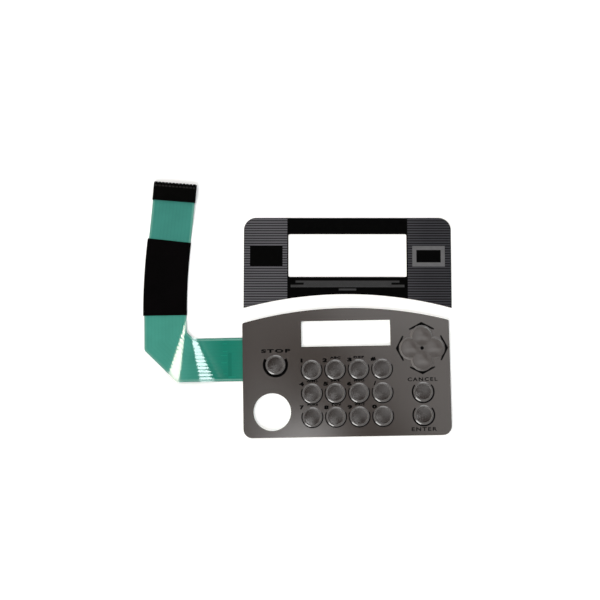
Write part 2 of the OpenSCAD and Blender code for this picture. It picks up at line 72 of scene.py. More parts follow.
# Small letter groups and their middles
LETTER_GROUPS = (
    ("ABC", -7.95, 57.0), ("DEF", 9.05, 57.0),
    ("GHI", -24.95, 40.1), ("JKL", -7.95, 40.1), ("MNO", 9.05, 40.1),
    ("PQRS", -24.95, 23.0), ("TUV", -7.95, 23.0), ("WXYZ", 9.05, 23.0),
)
WORD_SPACING = 1.3

# The middle between the display overlay's tips, from the middle of the panel's lower edge in millimetres,
# and the overlay's turn in degrees
DISPLAY_PLACE = (1.8, 92.9)
DISPLAY_TURN = -1.0
# Rules on the black band: height above the overlay's tips, width and thickness
BAND_RULES = ((19.3, 75.8, 1.5), (17.8, 64.0, 1.48), (16.1, 83.0, 1.9), (13.5, 12.8, 1.5))
# Middle of the right badge, from the middle between the overlay's tips
BADGE_PLACE = (59.27, 38.0)

# Marks on the film beside the panel: right end in the part's frame, length towards the left and width,
# in millimetres
ROOT_STRIPS = ((-83.1, 6.7, 2.5, 16.8),)
ROOT_STROKES = (
    (-86.4, 21.9, 3.2, 0.5), (-86.2, 16.1, 3.2, 0.5), (-86.4, 13.3, 4.4, 0.5),
    (-86.4, 8.1, 4.0, 0.5), (-86.4, 0.1, 2.6, 0.5), (-80.2, -2.2, 5.2, 0.6),
)

# How far each print stands above the film
TRACE_LIFT = 0.00002
MARGIN_LIFT = 0.00006
MARK_LIFT = 0.00009
# Longest face of a strip on the tail and of a mark by the root
STRIP_STEP = 0.0016
MARK_STEP = 0.0013
# Strips are drawn at this height and then dropped on the film
DROP_HEIGHT = 0.02

# Middle of the arrow pad on the panel's face
PAD_CENTRE = (0.055, 0.01635, FACE_Z)

# Lamps: name, direction towards it, angle in degrees, strength and colour
LAMPS = (
    ("left_softbox", (-0.556, 0.177, 0.812), 11.5, 0.76, (1.0, 0.90, 0.78)),
    ("right_softbox", (0.3165, 0.2743, 0.908), 7.5, 0.30, (0.86, 0.985, 1.0)),
    ("low_softbox", (-0.424, -0.734, 0.53), 34, 1.9, (1.0, 0.99, 0.98)),
    ("back_softbox", (0.15, 0.853, 0.50), 44, 0.9, (0.98, 0.99, 1.0)),
)
# The point that the camera looks at
LOOK_AT = (-0.03273, 0.05293, 0.0)


def drawing_point(x, y):
    """A point given from the middle of the panel's lower edge, in the part's frame."""
    return Vector((x, y - PANEL_HALF_HEIGHT, 0))


def display_place():
    """The display overlay's place beside the keypad."""
    x, y = DISPLAY_PLACE
    return Matrix.Translation(drawing_point(x * MM, y * MM)) @ Matrix.Rotation(math.radians(DISPLAY_TURN), 4, "Z")


# Settings


class FilmSettings(bpy.types.PropertyGroup):
    """Colours of the printed films."""

    panel_colour: bpy.props.FloatVectorProperty(
        name="Panel grey", description="Warm grey of the keypad panel", subtype="COLOR",
        size=3, min=0, max=1, default=(0.044, 0.0355, 0.0315),
    )
    key_colour: bpy.props.FloatVectorProperty(
        name="Key grey", description="Grey of the embossed keys", subtype="COLOR",
        size=3, min=0, max=1, default=(0.030, 0.0246, 0.0224),
    )
    pad_colour: bpy.props.FloatVectorProperty(
        name="Arrow pad grey", description="Paler grey of the arrow pad", subtype="COLOR",
        size=3, min=0, max=1, default=(0.066, 0.057, 0.053),
    )
    # Painted highlight: this paler grey on the key rims stands in for the rims' bright highlights
    rim_highlight_colour: bpy.props.FloatVectorProperty(
        name="Rim highlight grey", description="Paler grey painted on the key rims as a highlight", subtype="COLOR",
        size=3, min=0, max=1, default=(0.088, 0.078, 0.073),
    )
    display_colour: bpy.props.FloatVectorProperty(
        name="Display overlay grey", description="Cool grey under the pinstripes", subtype="COLOR",
        size=3, min=0, max=1, default=(0.078, 0.076, 0.085),
    )
    # Painted shade: a darker grey towards the overlay's right, where the overlay reflects less light
    display_painted_shade_colour: bpy.props.FloatVectorProperty(
        name="Display overlay painted shade", description="Darker grey at the overlay's right", subtype="COLOR",
        size=3, min=0, max=1, default=(0.022, 0.021, 0.026),
    )
    ink_colour: bpy.props.FloatVectorProperty(
        name="Black ink", description="Screen printed black", subtype="COLOR",
        size=3, min=0, max=1, default=(0.001, 0.001, 0.001),
    )
    rule_grey: bpy.props.FloatProperty(
        name="Rule grey", description="Level of the grey rules on the black band", min=0, max=1, default=0.024,
    )
    badge_grey: bpy.props.FloatProperty(
        name="Badge grey", description="Level of the grey frame round the right badge", min=0, max=1, default=0.105,
    )
    root_green: bpy.props.FloatVectorProperty(
        name="Root green", description="Green print of the circuit film beside the panel", subtype="COLOR",
        size=3, min=0, max=1, default=(0.006, 0.172, 0.120),
    )
    corner_green: bpy.props.FloatVectorProperty(
        name="Corner green", description="Paler green of the upright arm below the sleeve", subtype="COLOR",
        size=3, min=0, max=1, default=(0.054, 0.262, 0.206),
    )
    connector_green: bpy.props.FloatVectorProperty(
        name="Connector green", description="Green of the open film under the connector", subtype="COLOR",
        size=3, min=0, max=1, default=(0.044, 0.212, 0.175),
    )
    trace_paleness: bpy.props.FloatProperty(
        name="Trace paleness", description="How much paler the print is over a trace",
        min=1, max=2, default=1.04,
    )
    stroke_paleness: bpy.props.FloatProperty(
        name="Stroke paleness", description="How much paler the short strokes by the root are",
        min=1, max=2, default=1.35,
    )
    strip_shade: bpy.props.FloatProperty(
        name="Strip shade", description="How much of the print's brightness is left on the strip by the root",
        min=0.5, max=1, default=0.87,
    )


class LetteringSettings(bpy.types.PropertyGroup):
    """Sizes of the printed lettering and of the badge frame."""

    number_height: bpy.props.FloatProperty(
        name="Number height", description="Height of the key numbers", unit="LENGTH",
        min=0.001, max=0.006, default=0.0029,
    )
    number_weight: bpy.props.FloatProperty(
        name="Number weight", description="How much each side of a number's strokes is widened", unit="LENGTH",
        min=0, max=0.0005, default=0.00024,
    )
    word_height: bpy.props.FloatProperty(
        name="Word height", description="Height of the function words", unit="LENGTH",
        min=0.001, max=0.006, default=0.0027,
    )
    word_weight: bpy.props.FloatProperty(
        name="Word weight", description="How much each side of a word's strokes is widened", unit="LENGTH",
        min=0, max=0.0005, default=0.0002,
    )
    letters_height: bpy.props.FloatProperty(
        name="Letter group height", description="Height of the small letter groups", unit="LENGTH",
        min=0.0005, max=0.003, default=0.0017,
    )
    letters_width: bpy.props.FloatProperty(
        name="Letter group width", description="Width of a small letter group", unit="LENGTH",
        min=0.002, max=0.01, default=0.0076,
    )
    letters_weight: bpy.props.FloatProperty(
        name="Letter group weight", description="How much each side of a small letter's strokes is widened",
        unit="LENGTH", min=0, max=0.0005, default=0.00014,
    )
    ink_thickness: bpy.props.FloatProperty(
        name="Ink thickness", description="How far the lettering stands above the face", unit="LENGTH",
        min=0.00001, max=0.0001, default=0.00003,
    )
    badge_width: bpy.props.FloatProperty(
        name="Badge width", description="Width of the right badge's frame", unit="LENGTH",
        min=0.01, max=0.03, default=0.02375,
    )
    badge_height: bpy.props.FloatProperty(
        name="Badge height", description="Height of the right badge's frame", unit="LENGTH",
        min=0.008, max=0.02, default=0.0151,
    )
    badge_border: bpy.props.FloatProperty(
        name="Badge border", description="Width of the right badge's grey border", unit="LENGTH",
        min=0.0005, max=0.005, default=0.003,
    )


class TailSettings(bpy.types.PropertyGroup):
    """Traces and margins along the tail, placed from the middle of the panel's lower edge."""

    ways: bpy.props.IntProperty(
        name="Traces", description="Number of traces", min=1, max=12, default=12,
    )
    pitch: bpy.props.FloatProperty(
        name="Pitch", description="Pitch of the traces", unit="LENGTH", min=0.001, max=0.003, default=0.00254,
    )
    trace_width: bpy.props.FloatProperty(
        name="Trace width", description="Width of a trace", unit="LENGTH",
        min=0.0003, max=0.0025, default=0.0018,
    )
    bead_height: bpy.props.FloatProperty(
        name="Bead height", description="How far a trace stands above the film", unit="LENGTH",
        min=0, max=0.0002, default=0.000022,
    )
    margin_width: bpy.props.FloatProperty(
        name="Margin width", description="Width of the clear margin along each edge", unit="LENGTH",
        min=0.0002, max=0.002, default=0.0012,
    )
    margin_offset: bpy.props.FloatProperty(
        name="Margin offset", description="From the tail's middle line to a margin's", unit="LENGTH",
        min=0.014, max=0.0155, default=0.01455,
    )
    root_y: bpy.props.FloatProperty(
        name="Root", description="Middle of the root above the panel's lower edge", unit="LENGTH", default=0.0568,
    )
    arm_x: bpy.props.FloatProperty(
        name="Arm", description="Middle of the upright arm", unit="LENGTH", default=-0.1308,
    )
    arm_base_y: bpy.props.FloatProperty(
        name="Arm base", description="Where the sway starts", unit="LENGTH", default=0.0892,
    )
    sway_length: bpy.props.FloatProperty(
        name="Sway length", description="Length of the first bow", unit="LENGTH", default=0.057,
    )
    sway_turn: bpy.props.FloatProperty(
        name="Sway turn", description="Turn of the first bow", subtype="ANGLE", default=math.radians(7.4),
    )
    back_turn: bpy.props.FloatProperty(
        name="Turn back", description="Turn of the second bow", subtype="ANGLE", default=math.radians(1.8),
    )
    sleeve_start: bpy.props.FloatProperty(
        name="Sleeve start", description="From the sway's start to the tape", unit="LENGTH", default=0.0005,
    )
    sleeve_end: bpy.props.FloatProperty(
        name="Sleeve end", description="From the sway's start to the tape's far end", unit="LENGTH",
        default=0.0555,
    )
    film_end: bpy.props.FloatProperty(
        name="Film end", description="From the sway's start to the film's end", unit="LENGTH", default=0.0847,
    )
    chamfer_line: bpy.props.FloatProperty(
        name="Corner line", description="Sum of x and y along the middle of the slanting run", unit="LENGTH",
        default=-0.05975,
    )
    chamfer_spread: bpy.props.FloatProperty(
        name="Corner spread", description="Change of that sum with the distance across the tail", default=1.42,
    )


class StageSettings(bpy.types.PropertyGroup):
    """Camera and floor."""

    distance: bpy.props.FloatProperty(
        name="Distance", description="Camera to the point it looks at", unit="LENGTH",
        min=0.2, max=5, default=0.8014,
    )
    tilt: bpy.props.FloatProperty(
        name="Tilt", description="Camera's lean from straight above", subtype="ANGLE",
        default=math.radians(5.352),
    )
    roll: bpy.props.FloatProperty(
        name="Roll", description="Camera's turn about the vertical", subtype="ANGLE",
        default=math.radians(-0.981),
    )
    field_of_view: bpy.props.FloatProperty(
        name="Field of view", description="Camera's field of view", subtype="ANGLE",
        default=math.radians(30.51),
    )
    floor_glow: bpy.props.FloatProperty(
        name="Floor glow", description="Extra paleness of the floor as the camera sees it",
        min=0, max=0.5, default=0.15,
    )
    floor_colour: bpy.props.FloatVectorProperty(
        name="Floor", description="Pale floor", subtype="COLOR", size=3, min=0, max=1, default=(0.97, 0.97, 0.97),
    )


# Material helpers


def add_node(tree, kind, inputs=None, **settings):
    """A node whose inputs are linked where a socket is given, and typed in elsewhere."""
    made = tree.nodes.new("ShaderNode" + kind)
    for name, value in settings.items():
        setattr(made, name, value)
    for name, value in (inputs or {}).items():
        if isinstance(value, bpy.types.NodeSocket):
            tree.links.new(value, made.inputs[name])
        else:
            made.inputs[name].default_value = value
    return made


def begin(name):
    """A new material with its nodes and the object's own coordinates."""
    made = bpy.data.materials.new(name)
    made.use_nodes = True
    tree = made.node_tree
    return made, tree, add_node(tree, "TexCoord").outputs["Object"]


def split(tree, vector):
    """The X, Y and Z of a vector."""
    return add_node(tree, "SeparateXYZ", {"Vector": vector}).outputs


def vector_math(tree, operation, first, second, output="Vector"):
    """One step of reckoning with two vectors."""
    return add_node(tree, "VectorMath", {0: first, 1: second}, operation=operation).outputs[output]


def noise(tree, point, scale, detail=2.0, roughness=0.5):
    """An uneven level whose grain gets finer with the scale."""
    inputs = {"Vector": point, "Scale": scale, "Detail": detail, "Roughness": roughness}
    return add_node(tree, "TexNoise", inputs).outputs["Fac"]


def span(tree, value, low, high, to_low=0.0, to_high=1.0):
    """A level that runs from to_low to to_high while the value runs from low to high."""
    inputs = {"Value": value, "From Min": low, "From Max": high, "To Min": to_low, "To Max": to_high}
    return add_node(tree, "MapRange", inputs).outputs["Result"]


def mottle(tree, point, scale, detail, low=0.0, high=1.0):
    """Soft clouds between two levels."""
    return span(tree, noise(tree, point, scale, detail), 0.3, 0.7, low, high)


def stretched(tree, point, scale, rotation=(0.0, 0.0, 0.0)):
    """The point in a space stretched for fibres or brushed grain."""
    return add_node(tree, "Mapping", {"Vector": point, "Rotation": rotation, "Scale": scale}).outputs["Vector"]


def distance_from(tree, point, centre, near, far, at_near, at_far):
    """A level that changes smoothly with the distance from a centre."""
    return span(tree, vector_math(tree, "DISTANCE", point, centre, "Value"), near, far, at_near, at_far)


def combine(tree, operation, values):
    """All the values added, multiplied or compared in turn."""
    result = values[0]
    for value in values[1:]:
        result = add_node(tree, "Math", {0: result, 1: value}, operation=operation).outputs["Value"]
    return result


def total(tree, *values):
    return combine(tree, "ADD", values)


def product(tree, *values):
    return combine(tree, "MULTIPLY", values)


def blend_colours(tree, factor, low, high):
    """A mix of two colours, each a socket or a plain colour."""
    made = add_node(tree, "Mix", data_type="RGBA")
    tree.links.new(factor, made.inputs[0])
    for socket, value in ((made.inputs[6], low), (made.inputs[7], high)):
        if isinstance(value, bpy.types.NodeSocket):
            tree.links.new(value, socket)
        else:
            socket.default_value = (*value, 1)
    return made.outputs[2]


def bump(tree, height, distance, strength=1.0, normal=None):
    """A fine relief, laid over another one where its normal is given."""
    inputs = {"Height": height, "Distance": distance, "Strength": strength}
    if normal is not None:
        inputs["Normal"] = normal
    return add_node(tree, "Bump", inputs).outputs["Normal"]


def shade(material, **values):
    """Sets the material's Principled shader; a socket is linked and a plain value is typed in."""
    tree = material.node_tree
    shader = tree.nodes["Principled BSDF"]
    for name, value in values.items():
        socket = shader.inputs[name.replace("_", " ")]
        if isinstance(value, bpy.types.NodeSocket):
            tree.links.new(value, socket)
        elif socket.type == "RGBA":
            socket.default_value = (*value, 1)
        else:
            socket.default_value = value
    return material


def lighter(colour, factor):
    """The colour made paler, or darker with a factor under one."""
    return tuple(min(1.0, c * factor) for c in colour)


# Materials


def panel_film(films):
    """Hard-coated polyester over a warm grey print, with a paler grey painted on the key rims as a highlight, and
    duller on the dished slopes.
    """
    made, tree, point = begin("panel_film")
    height = split(tree, point)["Z"]
    on_key = span(tree, height, FACE_Z + 0.00005, FACE_Z + 0.0003)
    # Painted highlight: the tops of the key rims get a paler grey
    rim_highlight = span(tree, height, FACE_Z + 0.00055, FACE_Z + 0.00059)
    on_pad = distance_from(tree, point, PAD_CENTRE, 0.015, 0.0175, 1.0, 0.0)
    cloud = mottle(tree, point, 22, 3)
    panel = blend_colours(tree, cloud, lighter(films.panel_colour, 0.94), lighter(films.panel_colour, 1.06))
    field = blend_colours(tree, on_pad, tuple(films.key_colour), tuple(films.pad_colour))
    key = blend_colours(tree, rim_highlight, field, tuple(films.rim_highlight_colour))
    upright = split(tree, add_node(tree, "NewGeometry").outputs["Normal"])["Z"]
    top = span(tree, height, FACE_Z + 0.0003, FACE_Z + 0.0005, 0.10, 0.18)
    sloped = span(tree, upright, 0.996, 0.985, 0.0, 0.42)
    steep = span(tree, upright, 0.90, 0.88, 0.0, -0.34)
    grain = noise(tree, point, 5200, 2, 0.6)
    return shade(
        made,
        Base_Color=blend_colours(tree, on_key, panel, key),
        Roughness=total(tree, top, sloped, steep),
        Specular_IOR_Level=1.0,
        Normal=bump(tree, grain, 0.000003, 0.3),
    )


def display_film(films):
    """The same film over a cool grey, with painted shade that darkens it towards the right."""
    made, tree, point = begin("display_film")
    # Painted shade: the grey darkens towards the right, where the overlay reflects less light
    painted_shade = span(tree, split(tree, point)["X"], -0.02, 0.06)
    cloud = mottle(tree, point, 25, 3)
    pale = blend_colours(tree, cloud, lighter(films.display_colour, 0.94), lighter(films.display_colour, 1.06))
    return shade(
        made,
        Base_Color=blend_colours(tree, painted_shade, pale, tuple(films.display_painted_shade_colour)),
        Roughness=0.42,
        Specular_IOR_Level=0.3,
        Normal=bump(tree, noise(tree, point, 5200, 2, 0.6), 0.000012, 0.5),
    )


def black_ink(films):
    """Dense black screen ink with the fine texture of its mesh."""
    made, tree, point = begin("screen_black")
    cloud = mottle(tree, point, 300, 3)
    return shade(
        made,
        Base_Color=blend_colours(tree, cloud, lighter(films.ink_colour, 0.7), lighter(films.ink_colour, 1.3)),
        Roughness=0.5,
        Specular_IOR_Level=0.02,
        Normal=bump(tree, noise(tree, point, 6500, 2, 0.5), 0.00001, 0.4),
    )


def grey_ink(name, level):
    """Opaque grey screen ink with the slight mottle of its mesh."""
    made, tree, point = begin(name)
    dark = (level * 0.92, level * 0.91, level * 0.94)
    pale = (level * 1.07, level * 1.06, level * 1.10)
    colour = blend_colours(tree, mottle(tree, point, 260, 3), dark, pale)
    return shade(made, Base_Color=colour, Roughness=0.45, Specular_IOR_Level=0.3)


def green_print(tree, point, films, paleness):
    """The green print, palest on the upright arm between the corner and the sleeve."""
    place = split(tree, point)
    arm = span(tree, place["X"], -0.088, -0.118)
    beyond = span(tree, place["Y"], 0.062, 0.082)
    cloud = mottle(tree, point, 60, 4, 0.93 * paleness, 1.07 * paleness)
    below = blend_colours(tree, arm, tuple(films.root_green), tuple(films.corner_green))
    green = blend_colours(tree, beyond, below, tuple(films.connector_green))
    return add_node(tree, "VectorMath", {0: green, "Scale": cloud}, operation="SCALE").outputs["Vector"]


def green_film(films):
    """Glossy polyester over the green print, with the slow waves of a rolled film."""
    made, tree, point = begin("circuit_print")
    return shade(
        made,
        Base_Color=green_print(tree, point, films, 1.0),
        Roughness=mottle(tree, point, 90, 3, 0.08, 0.10),
        Specular_IOR_Level=0.55,
        Normal=bump(tree, noise(tree, point, 140, 2, 0.4), 0.00002, 0.3),
    )


def trace_film(films, name, paleness):
    """Silver traces and marks under the same green print, which is paler or darker over them."""
    made, tree, point = begin(name)
    return shade(
        made,
        Base_Color=green_print(tree, point, films, paleness),
        Roughness=0.09,
        Specular_IOR_Level=0.55,
        Normal=bump(tree, noise(tree, point, 2500, 2, 0.5), 0.000008, 0.3),
    )


def clear_margin():
    """The film beyond the traces, where less print lies under it."""
    made, tree, point = begin("clear_margin")
    colour = blend_colours(tree, mottle(tree, point, 200, 3), (0.095, 0.285, 0.23), (0.12, 0.32, 0.26))
    return shade(made, Base_Color=colour, Roughness=0.2, Specular_IOR_Level=0.5)


def black_tape():
    """Matt black wrap tape with a fine lengthwise rib and shallow creases."""
    made, tree, point = begin("wrap_tape")
    cloud = mottle(tree, point, 70, 4)
    rib = add_node(
        tree, "TexWave", {"Vector": point, "Scale": 900.0, "Distortion": 1.2, "Detail": 2.0}, bands_direction="X"
    ).outputs["Fac"]
    ribbed = bump(tree, rib, 0.000006, 0.4)
    return shade(
        made,
        Base_Color=blend_colours(tree, cloud, (0.0008, 0.0006, 0.0007), (0.0014, 0.001, 0.0012)),
        Roughness=0.5,
        Specular_IOR_Level=0.02,
        Normal=bump(tree, noise(tree, point, 160, 3), 0.00004, 0.4, ribbed),
    )


def moulded_plastic():
    """Black connector plastic with a fine spark-eroded grain."""
    made, tree, point = begin("moulded_plastic")
    cloud = mottle(tree, point, 240, 4)
    return shade(
        made,
        Base_Color=blend_colours(tree, cloud, (0.0008, 0.0007, 0.0007), (0.0014, 0.0013, 0.0013)),
        Roughness=0.5,
        Specular_IOR_Level=0.02,
        Normal=bump(tree, noise(tree, point, 7000, 3, 0.7), 0.00002, 0.5),
    )


def tin_in_painted_shade():
    """Dull tin of the crimp contacts, its colour darkened as painted shade for the depth of the housing."""
    made, tree, point = begin("tin_in_painted_shade")
    cloud = mottle(tree, point, 900, 4)
    # Painted shade: the tin's colour is made dark for the shade in the housing's slots
    colour = blend_colours(tree, cloud, (0.030, 0.029, 0.028), (0.045, 0.043, 0.041))
    return shade(made, Base_Color=colour, Metallic=1.0, Roughness=span(tree, cloud, 0, 1, 0.42, 0.52))


def dome_steel():
    """Rolled stainless steel with its lengthwise grain."""
    made, tree, point = begin("snap_steel")
    grain = noise(tree, stretched(tree, point, (60.0, 2400.0, 60.0)), 1.0, 3, 0.6)
    colour = blend_colours(tree, grain, (0.50, 0.51, 0.53), (0.62, 0.63, 0.65))
    return shade(made, Base_Color=colour, Metallic=1.0, Roughness=span(tree, grain, 0, 1, 0.22, 0.38))


def release_paper():
    """Waxed liner paper: short fibres, a soft mottle and a faint sheen."""
    made, tree, point = begin("liner_paper")
    fibre = noise(tree, stretched(tree, point, (500.0, 3600.0, 500.0), (0.0, 0.0, 0.5)), 1.0, 3, 0.6)
    base = blend_colours(tree, mottle(tree, point, 45, 5), (0.66, 0.61, 0.48), (0.74, 0.70, 0.58))
    return shade(
        made,
        Base_Color=blend_colours(tree, span(tree, fibre, 0.45, 0.75, 0, 0.35), base, (0.56, 0.50, 0.38)),
        Roughness=0.46,
        Specular_IOR_Level=0.4,
        Normal=bump(tree, fibre, 0.00001, 0.4),
    )


def adhesive_layer():
    """Milky transfer adhesive, slightly uneven."""
    made, tree, point = begin("adhesive_layer")
    colour = blend_colours(tree, mottle(tree, point, 120, 3), (0.52, 0.50, 0.42), (0.62, 0.60, 0.52))
    return shade(made, Base_Color=colour, Roughness=0.3, Normal=bump(tree, noise(tree, point, 900, 2), 0.00001, 0.4))


def spacer_film():
    """Clear film of the spacer and the dome retainer, seen edge on."""
    made, tree, point = begin("spacer_film")
    colour = blend_colours(tree, mottle(tree, point, 80, 3), (0.50, 0.55, 0.57), (0.60, 0.65, 0.67))
    return shade(made, Base_Color=colour, Roughness=0.22, Normal=bump(tree, noise(tree, point, 400, 2), 0.00001, 0.3))


# Modelling helpers


def select_only(*objects):
    """Leaves edit mode and selects these objects alone."""
    if bpy.context.object and bpy.context.object.mode != "OBJECT":
        bpy.ops.object.mode_set(mode="OBJECT")
    bpy.ops.object.select_all(action="DESELECT")
    for item in objects:
        item.select_set(True)
    bpy.context.view_layer.objects.active = objects[0]


def paint(item, material):
    """Leaves this material alone on an object."""
    item.data.materials.clear()
    item.data.materials.append(material)


def dress_node(name, material):
    """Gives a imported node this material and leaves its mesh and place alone."""
    item = frame["nodes"][name]
    if item.material_slots:
        for entry in item.material_slots:
            entry.material = material
    else:
        item.data.materials.append(material)


def finish_piece(item, name, material_name):
    """Names a piece, paints it and hands it over with its slot."""
    item.name = name
    item.data.name = name
    paint(item, bpy.data.materials[material_name])
    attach(item, "root")


def join_all(items):
    """Joins the objects to one."""
    select_only(*items)
    if len(items) > 1:
        bpy.ops.object.join()
    return bpy.context.object


# Lettering


def add_lettering(body, centre, size, thickness, weight, spacing=1.0):
    """One printed word on the panel as a thin solid of that width and height with its middle at centre."""
    bpy.ops.object.select_all(action="DESELECT")
    bpy.ops.object.text_add()
    item = bpy.context.object
    item.data.body = body
    item.data.size = (size[1] - 2 * weight) / 0.72
    item.data.space_character = spacing
    item.data.bevel_depth = weight
    item.data.bevel_resolution = 0
    item.data.resolution_u = 4
    bpy.ops.object.convert(target="MESH")
    item = bpy.context.object
    low = Vector(map(min, *(v.co for v in item.data.vertices)))
    high = Vector(map(max, *(v.co for v in item.data.vertices)))
    middle = (low + high) / 2
    stretch = (size[0] / (high.x - low.x), size[1] / (high.y - low.y), thickness / (high.z - low.z))
    bpy.ops.transform.resize(value=stretch, center_override=tuple(middle))
    bpy.ops.transform.translate(value=Vector((centre.x, centre.y, FACE_Z + thickness / 2)) - middle)
    bpy.ops.object.transform_apply(location=True, rotation=True, scale=True)
    return item


def add_plate(width, height, place, thickness, border=0.0):
    """A thin printed plate on the display overlay, or with a border an open frame."""
    bpy.ops.object.select_all(action="DESELECT")
    bpy.ops.mesh.primitive_plane_add(size=1)
    item = bpy.context.object
    item.dimensions = (width, height, 0)
    bpy.ops.object.transform_apply(location=False, rotation=False, scale=True)
    bpy.ops.object.mode_set(mode="EDIT")
    bpy.ops.mesh.select_all(action="SELECT")
    if border:
        bpy.ops.mesh.inset(thickness=border)
        bpy.ops.mesh.delete(type="FACE")
        bpy.ops.mesh.select_all(action="SELECT")
    bpy.ops.mesh.extrude_region_move(TRANSFORM_OT_translate={"value": (0, 0, thickness)})
    bpy.ops.mesh.select_all(action="SELECT")
    bpy.ops.mesh.normals_make_consistent(inside=False)
    bpy.ops.object.mode_set(mode="OBJECT")
    item.matrix_world = display_place() @ Matrix.Translation((place[0] * MM, place[1] * MM, BAND_TOP_Z))
    bpy.ops.object.transform_apply(location=True, rotation=True, scale=True)
    return item


class KEYPAD_OT_print_numbers(bpy.types.Operator):
    """Print the numbers and signs beside the keys"""

    bl_idname = "keypad.print_numbers"
    bl_label = "Print numbers"

    def execute(self, context):
        lettering = context.scene.keypad_lettering
        items = [
            add_lettering(
                body, drawing_point(x * MM, y * MM), (width * MM, lettering.number_height),
                lettering.ink_thickness, lettering.number_weight,
            )
            for body, x, y, width in NUMBERS
        ]
        finish_piece(join_all(items), "key_numbers", "screen_black")
        return {"FINISHED"}


class KEYPAD_OT_print_words(bpy.types.Operator):
    """Print the function words and the small letter groups"""

    bl_idname = "keypad.print_words"
    bl_label = "Print words"

    def execute(self, context):
        lettering = context.scene.keypad_lettering
        items = [
            add_lettering(
                body, drawing_point(x * MM, y * MM), (width * MM, lettering.word_height),
                lettering.ink_thickness, lettering.word_weight * share, WORD_SPACING,
            )
            for body, x, y, width, share in WORDS
        ]
        items += [
            add_lettering(
                body, drawing_point(x * MM, y * MM), (lettering.letters_width, lettering.letters_height),
                lettering.ink_thickness, lettering.letters_weight, WORD_SPACING,
            )
            for body, x, y in LETTER_GROUPS
        ]
        finish_piece(join_all(items), "key_words", "screen_black")
        return {"FINISHED"}


class KEYPAD_OT_print_rules(bpy.types.Operator):
    """Print the grey rules under the display window"""

    bl_idname = "keypad.print_rules"
    bl_label = "Print rules"

    def execute(self, context):
        thickness = context.scene.keypad_lettering.ink_thickness / 2
        items = [add_plate(width * MM, height * MM, (0, y), thickness) for y, width, height in BAND_RULES]
        finish_piece(join_all(items), "band_rules", "grey_ink")
        return {"FINISHED"}


class KEYPAD_OT_print_badge(bpy.types.Operator):
    """Print the plain grey frame round the right badge"""

    bl_idname = "keypad.print_badge"
    bl_label = "Print badge frame"

    def execute(self, context):
        lettering = context.scene.keypad_lettering
        item = add_plate(
            lettering.badge_width, lettering.badge_height, BADGE_PLACE,
            lettering.ink_thickness / 2, lettering.badge_border,
        )
        finish_piece(item, "badge_frame", "badge_ink")
        return {"FINISHED"}


# Tail


class KEYPAD_OT_smooth_tail(bpy.types.Operator):
    """Make the circuit film one smooth sheet, so that its buckles reflect without facets"""

    bl_idname = "keypad.smooth_tail"
    bl_label = "Smooth tail film"

    def execute(self, context):
        mesh = frame["nodes"]["circuit_film"].data.copy()
        film = bpy.data.objects.new("tail_film", mesh)
        context.scene.collection.objects.link(film)
        select_only(film)
        bpy.ops.mesh.customdata_custom_splitnormals_clear()
        bpy.ops.object.mode_set(mode="EDIT")
        bpy.ops.mesh.select_all(action="SELECT")
        bpy.ops.mesh.remove_doubles(threshold=1e-6)
        bpy.ops.object.mode_set(mode="OBJECT")
        bpy.ops.object.shade_smooth_by_angle(angle=math.radians(25))
        finish_piece(film, "tail_film", "circuit_print")
        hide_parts("circuit_film")
        return {"FINISHED"}


def start_strip(centre, heading, width):
    """A grid of two faces across the strip, its front edge at centre and selected, to be extruded along heading."""
    stub = 0.1 * MM
    bpy.ops.object.select_all(action="DESELECT")
    bpy.ops.mesh.primitive_grid_add(x_subdivisions=1, y_subdivisions=2, size=1)
    item = bpy.context.object
    item.dimensions = (stub, width, 0)
    bpy.ops.object.transform_apply(location=False, rotation=False, scale=True)
    back = Matrix.Translation((-stub / 2, 0, 0))
    item.matrix_world = Matrix.Translation(centre) @ Matrix.Rotation(heading, 4, "Z") @ back
    bpy.ops.object.transform_apply(location=True, rotation=True, scale=True)
    forward = Vector((math.cos(heading), math.sin(heading), 0))
    for edge in item.data.edges:
        middle = sum((item.data.vertices[v].co for v in edge.vertices), Vector()) / 2
        edge.select = (middle - centre).dot(forward) > -1e-6
    for vertex in item.data.vertices:
        vertex.select = (vertex.co - centre).dot(forward) > -1e-6
    for face in item.data.polygons:
        face.select = False
    bpy.ops.object.mode_set(mode="EDIT")
    bpy.ops.mesh.select_mode(type="EDGE")
    return item


def run_straight(heading, length, step):
    """Extrudes the selected edge along heading in equal steps."""
    count = max(1, math.ceil(length / step))
    offset = Vector((math.cos(heading), math.sin(heading), 0)) * length / count
    for _ in range(count):
        bpy.ops.mesh.extrude_region_move(TRANSFORM_OT_translate={"value": offset})


def run_turn(centre, angle, steps):
    """Spins the selected edge about an upright axis at centre."""
    bpy.ops.mesh.spin(steps=steps, angle=-angle, center=centre, axis=(0, 0, 1))


def mark_middle(item):
    """Marks the middle line of each strip, whose vertices touch four faces."""
    touching = [0] * len(item.data.vertices)
    for face in item.data.polygons:
        for vertex in face.vertices:
            touching[vertex] += 1
    middle = [vertex for vertex, faces in enumerate(touching) if faces == 4]
    item.vertex_groups.new(name="middle").add(middle, 1.0, "REPLACE")


def lay_on_film(item, film, lift, crown):
    """Drops the strip on the film and raises its middle line to a low bead."""
    bpy.ops.object.mode_set(mode="OBJECT")
    wrap = item.modifiers.new("on_film", "SHRINKWRAP")
    wrap.target = film
    wrap.wrap_method = "PROJECT"
    wrap.use_project_z = True
    wrap.use_negative_direction = True
    wrap.use_positive_direction = False
    wrap.offset = lift
    select_only(item)
    bpy.ops.object.modifier_apply(modifier=wrap.name)
    if crown:
        rise = item.modifiers.new("bead", "DISPLACE")
        rise.direction = "Z"
        rise.mid_level = 0
        rise.strength = crown
        rise.vertex_group = "middle"
        bpy.ops.object.modifier_apply(modifier=rise.name)
    bpy.ops.object.shade_smooth()


